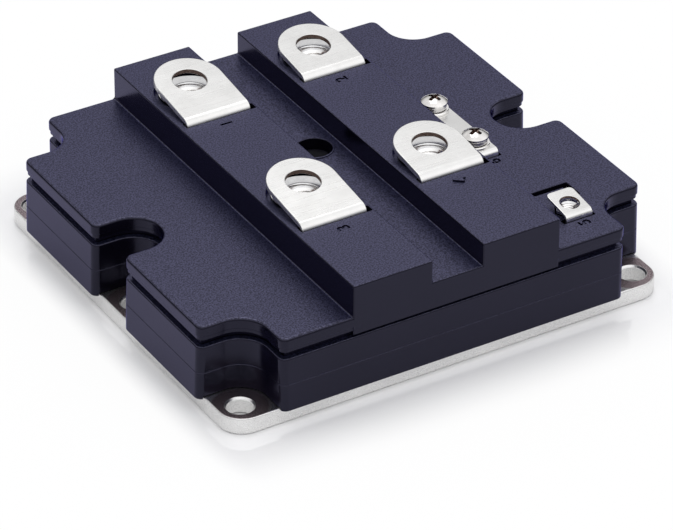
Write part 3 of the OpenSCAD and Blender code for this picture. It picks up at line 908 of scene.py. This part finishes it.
def gate_terminal():
    half, r = STRIP_W / 2, 1.4
    loop = [(-half, -32), (half, -32)]
    loop += polar(half - r, GATE_TAIL - r, r, 0, 90, 8)
    loop += polar(-half + r, GATE_TAIL - r, r, 90, 180, 8)
    return control_strip(
        "gate_tab", GATE_X, GATE_Y, GATE_REACH, TILT, loop, [(0, 0)], 2.8, "gate_terminal"
    )


def auxiliary_bar():
    half = STRIP_W / 2
    pitch = AUX_BACK_Y - AUX_FRONT_Y
    loop = [(-half, -32), (half, -32)] + polar(0, pitch, half, 0, 180, 32)
    return control_strip(
        "auxiliary_link",
        AUX_X,
        AUX_FRONT_Y,
        AUX_REACH,
        0,
        loop,
        [(0, 0), (0, pitch)],
        2.25,
        "auxiliary_bar",
    )


# ---------------------------------------------------------------- nuts, washers, screws

def hex_radius(angle, across_flats, round_r):
    """Radius of a hexagon at an angle, its corners no further out than round_r."""
    turn = math.radians(60)
    a = (angle + turn / 2) % turn - turn / 2
    return min(across_flats / 2 / math.cos(a), round_r)


def turned(cx, cy, rings, count=72, across_flats=0.0):
    """Rings of a turned part; a negative radius means a hexagon with corners up to that radius."""
    made = []
    for r, z in rings:
        ring = []
        for i in range(count):
            a = 2 * math.pi * i / count
            radius = r if r > 0 else hex_radius(a - math.radians(30), across_flats, -r)
            ring.append((cx + radius * math.cos(a), cy + radius * math.sin(a), z))
        made.append(ring)
    return made


def geometry_tree(name, inputs):
    tree = bpy.data.node_groups.new(name, "GeometryNodeTree")
    tree.interface.new_socket("Geometry", in_out="INPUT", socket_type="NodeSocketGeometry")
    for label, kind, value in inputs:
        made = tree.interface.new_socket(label, in_out="INPUT", socket_type=kind)
        if value is not None:
            made.default_value = value
    tree.interface.new_socket("Geometry", in_out="OUTPUT", socket_type="NodeSocketGeometry")
    return tree, tree.nodes.new("NodeGroupInput"), tree.nodes.new("NodeGroupOutput")


def thread_tree():
    """A helical thread ridge: a small diamond swept along a helix, joined to the incoming body."""
    tree, given, result = geometry_tree(
        "helical_thread",
        [
            ("Radius", "NodeSocketFloat", 3.7),
            ("Pitch", "NodeSocketFloat", 1.25),
            ("Depth", "NodeSocketFloat", 0.4),
            ("Turns", "NodeSocketFloat", 5.0),
            ("Base", "NodeSocketFloat", 28.8),
            ("Steps", "NodeSocketInt", 72),
            ("Centre", "NodeSocketVector", (0, 0, 0)),
            ("Finish", "NodeSocketMaterial", None),
        ],
    )
    g = given.outputs
    height = put(tree, "ShaderNodeMath", [(0, g["Turns"]), (1, g["Pitch"])], operation="MULTIPLY")
    helix = put(
        tree,
        "GeometryNodeCurveSpiral",
        [
            ("Resolution", g["Steps"]),
            ("Rotations", g["Turns"]),
            ("Start Radius", g["Radius"]),
            ("End Radius", g["Radius"]),
            ("Height", height.outputs[0]),
        ],
    )
    upright = put(tree, "GeometryNodeSetCurveNormal", [(0, helix.outputs[0])])
    upright.mode = "Z_UP"
    half = put(tree, "ShaderNodeMath", [(0, g["Pitch"]), (1, 0.94)], operation="MULTIPLY")
    deep = put(tree, "ShaderNodeMath", [(0, g["Depth"]), (1, 2.0)], operation="MULTIPLY")
    section = put(tree, "GeometryNodeCurvePrimitiveCircle", [("Resolution", 4), ("Radius", 0.5)])
    size = put(tree, "ShaderNodeCombineXYZ", [("X", deep.outputs[0]), ("Y", half.outputs[0]), ("Z", 1.0)])
    sized = put(
        tree, "GeometryNodeTransform", [("Geometry", section.outputs[0]), ("Scale", size.outputs[0])]
    )
    swept = put(
        tree,
        "GeometryNodeCurveToMesh",
        [("Curve", upright.outputs[0]), ("Profile Curve", sized.outputs[0]), ("Fill Caps", True)],
    )
    lift = put(tree, "ShaderNodeCombineXYZ", [("Z", g["Base"])])
    where = put(
        tree, "ShaderNodeVectorMath", [(0, lift.outputs[0]), (1, g["Centre"])], operation="ADD"
    )
    placed = put(
        tree,
        "GeometryNodeTransform",
        [("Geometry", swept.outputs[0]), ("Translation", where.outputs[0])],
    )
    painted = put(
        tree, "GeometryNodeSetMaterial", [("Geometry", placed.outputs[0]), ("Material", g["Finish"])]
    )
    joined = put(tree, "GeometryNodeJoinGeometry")
    tree.links.new(painted.outputs[0], joined.inputs[0])
    tree.links.new(g["Geometry"], joined.inputs[0])
    real = put(tree, "GeometryNodeRealizeInstances", [(0, joined.outputs[0])])
    tree.links.new(real.outputs[0], result.inputs[0])
    return tree


THREAD = thread_tree()


def add_thread(obj, finish, **sizes):
    """Runs the thread tree on a piece and keeps the result as a plain mesh."""
    grow = obj.modifiers.new("thread", "NODES")
    grow.node_group = THREAD
    sockets = {s.name: s.identifier for s in THREAD.interface.items_tree if s.in_out == "INPUT"}
    for label, value in sizes.items():
        grow[sockets[label]] = value
    grow[sockets["Finish"]] = finish
    return plain_mesh(obj)


def power_nut(name, x, y, node):
    top, bottom = RIDGE_Z, RIDGE_Z - NUT_H
    corner = NUT_AF / 2 / math.cos(math.radians(30))
    under = top - FLANGE_T
    rings = [(4.2, bottom), (NUT_AF / 2 - 0.2, bottom), (-corner + 0.1, bottom + 0.5)]
    rings += [(-corner - 0.01, bottom + 0.9), (-corner - 0.01, under), (FLANGE_R - 0.25, under)]
    rings += [(FLANGE_R - 0.06, under + 0.08), (FLANGE_R, under + 0.3), (FLANGE_R, top - 0.35)]
    rings += [(FLANGE_R - 0.1, top - 0.1), (FLANGE_R - 0.35, top), (5.3, top), (5.1, top - 0.06)]
    rings += [(4.95, top - 0.2), (4.8, top - 0.65), (4.35, top - 0.9), (4.02, top - 1.15)]
    rings += [(4.02, bottom + 0.3)]
    obj = loft(name, turned(x, y, rings, 96, NUT_AF), False)
    obj.data.materials.append(NUT_STEEL)
    add_thread(
        obj,
        NUT_STEEL,
        Radius=4.02,
        Pitch=1.25,
        Depth=0.6,
        Turns=5.1,
        Base=bottom + 0.45,
        Centre=(x, y, 0),
        Steps=72,
    )
    return keep(obj, [NUT_STEEL], [node])


def small_nut(name, x, y, node):
    top, bottom = STRIP_Z, STRIP_Z - SMALL_NUT_H
    corner = SMALL_NUT_AF / 2 / math.cos(math.radians(30))
    edge = SMALL_NUT_AF / 2
    rings = [(2.2, bottom), (edge - 0.05, bottom), (-corner + 0.12, bottom + 0.25)]
    rings += [(-corner - 0.01, bottom + 0.4), (-corner - 0.01, top - 0.4)]
    rings += [(-corner + 0.12, top - 0.25), (edge - 0.05, top), (2.4, top), (2.1, top - 0.3)]
    rings += [(2.0, top - 0.4), (2.0, bottom + 0.3)]
    obj = loft(name, turned(x, y, rings, 72, SMALL_NUT_AF), False)
    obj.data.materials.append(NUT_STEEL)
    add_thread(
        obj,
        NUT_STEEL,
        Radius=2.0,
        Pitch=0.7,
        Depth=0.33,
        Turns=3.4,
        Base=bottom + 0.35,
        Centre=(x, y, 0),
        Steps=48,
    )
    return keep(obj, [NUT_STEEL], [node])


def flat_washer(name, y, node):
    rings = [(2.3, WASHER_Z), (4.1, WASHER_Z), (4.2, WASHER_Z + 0.12), (4.2, WASHER_Z + 0.6)]
    rings += [(4.05, WASHER_Z + 0.8), (2.35, WASHER_Z + 0.8), (2.25, WASHER_Z + 0.7)]
    obj = loft(name, turned(AUX_X, y, rings, 64), False)
    return keep(obj, [SCREW_STEEL], [node])


def spring_washer(name, y, node):
    """One turn of rectangular wire with a slanted cut, its ends sprung apart."""
    count, half_gap = 64, 7.0
    low, high, rise = SPRING_Z + 0.02, HEAD_Z - 0.02, 0.22
    rings = []
    for i in range(count + 1):
        share = i / count
        a = math.radians(-25 + half_gap + (360 - 2 * half_gap) * share)
        bottom = low + rise * share
        top = high - rise * (1 - share)
        ring = []
        for r, z in ((2.3, bottom), (3.4, bottom), (3.5, bottom + 0.1), (3.5, top - 0.1), (3.4, top), (2.3, top)):
            ring.append((AUX_X + r * math.cos(a), y + r * math.sin(a), z))
        rings.append(ring)
    return keep(loft(name, rings), [SPRING_STEEL], [node])


def screw(name, y, node):
    head_r, head_h = 3.75, 2.05
    rim_h = head_h / 3
    crown_h = head_h - rim_h
    crown_r = (head_r**2 + crown_h**2) / (2 * crown_h)
    shank = 1.62
    rings = [(0.9, HEAD_Z - 10), (shank, HEAD_Z - 9.3), (shank, HEAD_Z), (head_r - 0.2, HEAD_Z)]
    rings += [(head_r, HEAD_Z + 0.2), (head_r, HEAD_Z + rim_h)]
    for i in range(1, 9):
        r = head_r * math.cos(math.pi / 2 * i / 9)
        rings.append((r, HEAD_Z + head_h - crown_r + math.sqrt(crown_r**2 - r**2)))
    obj = loft(name, turned(AUX_X, y, rings, 64))
    arm, half = 2.15, 0.6
    plus = []
    for k in range(4):
        a = math.radians(90 * k + 20)
        for u, v in ((arm - 0.25, -half), (arm, -half + 0.2), (arm, half - 0.2), (arm - 0.25, half), (half, half)):
            plus.append((u * math.cos(a) - v * math.sin(a), u * math.sin(a) + v * math.cos(a)))
    loop = [(AUX_X + u, y + v) for u, v in plus]
    rings = []
    for z, share in ((HEAD_Z + 0.6, 0.45), (HEAD_Z + 1.1, 0.9), (HEAD_Z + head_h + 0.3, 1.04)):
        rings.append(level([(AUX_X + (u - AUX_X) * share, y + (v - y) * share) for u, v in loop], z))
    recess = loft("recess", rings)
    recess.data.materials.append(SCREW_STEEL)
    recess.data.materials.append(SHADED_RECESS_STEEL)
    # The recess walls take the dark brown colour, painted shade.
    for face in recess.data.polygons:
        face.material_index = 1
    obj.data.materials.append(SCREW_STEEL)
    obj.data.materials.append(SHADED_RECESS_STEEL)
    carve(obj, recess)
    add_thread(
        obj,
        SCREW_STEEL,
        Radius=shank,
        Pitch=0.7,
        Depth=0.32,
        Turns=12.0,
        Base=HEAD_Z - 9.1,
        Centre=(AUX_X, y, 0),
        Steps=48,
    )
    return keep(obj, [SCREW_STEEL, SHADED_RECESS_STEEL], [node])


# ---------------------------------------------------------------- floor, light, camera

def floor():
    """White sweep: it mirrors only the foot of the module, and its shade fades with distance."""
    size = 1.5
    mesh = bpy.data.meshes.new("floor")
    corners = [(-size, -size), (size, -size), (size, size), (-size, size)]
    mesh.from_pydata([(x, y, -0.0001) for x, y in corners], [], [(0, 1, 2, 3)])
    obj = bpy.data.objects.new("studio_floor", mesh)
    bpy.context.scene.collection.objects.link(obj)
    material, tree, shader = new_material("white_sweep")
    mottle = use_group(tree, MOTTLE, Scale=3.0)
    tone = blend_colour(tree, mottle.outputs[0], (0.97, 0.97, 0.975, 1), (0.99, 0.99, 0.99, 1))
    tree.links.new(tone, shader.inputs["Base Color"])
    shader.inputs["Roughness"].default_value = 0.04
    shader.inputs["IOR"].default_value = 2.0
    away = put(tree, "ShaderNodeTexCoord").outputs["Object"]
    for operation, amount in (
        ("ABSOLUTE", (0, 0, 0)),
        ("SUBTRACT", (PLATE_X * MM, PLATE_Y * MM, 0)),
        ("MAXIMUM", (0, 0, 0)),
        ("MULTIPLY", (2.2, 1, 0)),
    ):
        away = put(tree, "ShaderNodeVectorMath", [(0, away), (1, amount)], operation=operation).outputs[0]
    distance = put(tree, "ShaderNodeVectorMath", [(0, away)], operation="LENGTH").outputs["Value"]
    mirror = remap(tree, distance, 0.010, 0.020, 0.5, 0.0)
    tree.links.new(mirror, shader.inputs["Specular IOR Level"])
    glow = put(tree, "ShaderNodeEmission", [("Color", (1, 1, 1, 1)), ("Strength", 1.0)])
    seen = put(tree, "ShaderNodeLightPath").outputs["Is Camera Ray"]
    share = sums(tree, "MULTIPLY", seen, remap(tree, distance, 0.004, 0.024, 0.04, 0.92))
    mixed = put(tree, "ShaderNodeMixShader", [(0, share), (1, shader.outputs[0]), (2, glow.outputs[0])])
    finish = tree.nodes["Material Output"]
    tree.links.new(mixed.outputs[0], finish.inputs["Surface"])
    mesh.materials.append(material)
    return obj


def area_light(name, place, aim, size, power, colour=(1, 1, 1)):
    lamp = bpy.data.lights.new(name, "AREA")
    lamp.shape = "RECTANGLE"
    lamp.size, lamp.size_y = size
    lamp.energy = power
    lamp.color = colour
    obj = bpy.data.objects.new(name, lamp)
    obj.location = place
    direction = Vector(aim) - Vector(place)
    obj.rotation_euler = direction.to_track_quat("-Z", "Y").to_euler()
    bpy.context.scene.collection.objects.link(obj)
    return obj


def world():
    """White to the camera; to the object a bright ceiling over a dark horizon."""
    made = bpy.data.worlds.new("white_studio")
    bpy.context.scene.world = made
    made.use_nodes = True
    tree = made.node_tree
    back = tree.nodes["Background"]
    way = put(tree, "ShaderNodeTexCoord").outputs["Generated"]
    axes = put(tree, "ShaderNodeSeparateXYZ", [("Vector", way)]).outputs
    rise = remap(tree, axes["Z"], 0.10, 0.48, 0.02, 1.0)
    front = remap(tree, axes["Y"], -0.55, 0.45, 1.25, 0.84)
    room = blend_colour(tree, rise, (0.02, 0.02, 0.025, 1), (0.98, 0.98, 1.0, 1))
    seen = put(tree, "ShaderNodeLightPath").outputs["Is Camera Ray"]
    tree.links.new(blend_colour(tree, seen, room, (1, 1, 1, 1)), back.inputs["Color"])
    strength = put(tree, "ShaderNodeMix", [(0, seen), (2, front), (3, 1.0)]).outputs[0]
    tree.links.new(strength, back.inputs["Strength"])
    return made


def camera():
    """Looks down on the left front corner, very slightly rolled."""
    lens = bpy.data.cameras.new("camera")
    lens.sensor_width = 36
    lens.lens = LENS
    lens.clip_end = 20
    obj = bpy.data.objects.new("camera", lens)
    bpy.context.scene.collection.objects.link(obj)
    a, e, r = (math.radians(v) for v in (AZIMUTH, ELEVATION, ROLL))
    back = Vector((math.sin(a) * math.cos(e), -math.cos(a) * math.cos(e), math.sin(e)))
    right = Vector((math.cos(a), math.sin(a), 0))
    up = back.cross(right)
    rolled_right = right * math.cos(r) + up * math.sin(r)
    rolled_up = up * math.cos(r) - right * math.sin(r)
    obj.matrix_world = Matrix.Translation((Vector(AIM) + back * DISTANCE) * MM) @ Matrix(
        (rolled_right, rolled_up, back)
    ).transposed().to_4x4()
    bpy.context.scene.camera = obj
    return obj


baseplate()
sealing_bead()
housing_frame()
lid()
fill_plug()
for side, x, reach in (("collector", -RIDGE_X, COLLECTOR_REACH), ("emitter", RIDGE_X, EMITTER_REACH)):
    for end, y in (("front", FRONT_Y), ("back", BACK_Y)):
        power_terminal(f"{side}_{end}_tab", x, y, reach, f"{side}_{end}")
        power_nut(f"{side}_{end}_nut", x, y, f"nut_{side}_{end}")
gate_terminal()
small_nut("gate_hex_nut", GATE_X, GATE_Y, "gate_nut")
auxiliary_bar()
for end, y in (("front", AUX_FRONT_Y), ("back", AUX_BACK_Y)):
    small_nut(f"{end}_hex_nut", AUX_X, y, f"auxiliary_nut_{end}")
    flat_washer(f"{end}_washer", y, f"flat_washer_{end}")
    spring_washer(f"{end}_lock_washer", y, f"spring_washer_{end}")
    screw(f"{end}_screw", y, f"screw_{end}")
for node, material in (("substrates", ceramic_material()), ("chips", silicon_material())):
    carried = frame["nodes"][node].data
    carried.materials.clear()
    carried.materials.append(material)

floor()
world()
area_light("overhead", (0.15, 0.35, 1.0), (0, 0, 0), (0.5, 0.5), 1.5)
camera()
scene = bpy.context.scene
scene.view_settings.view_transform = "Standard"
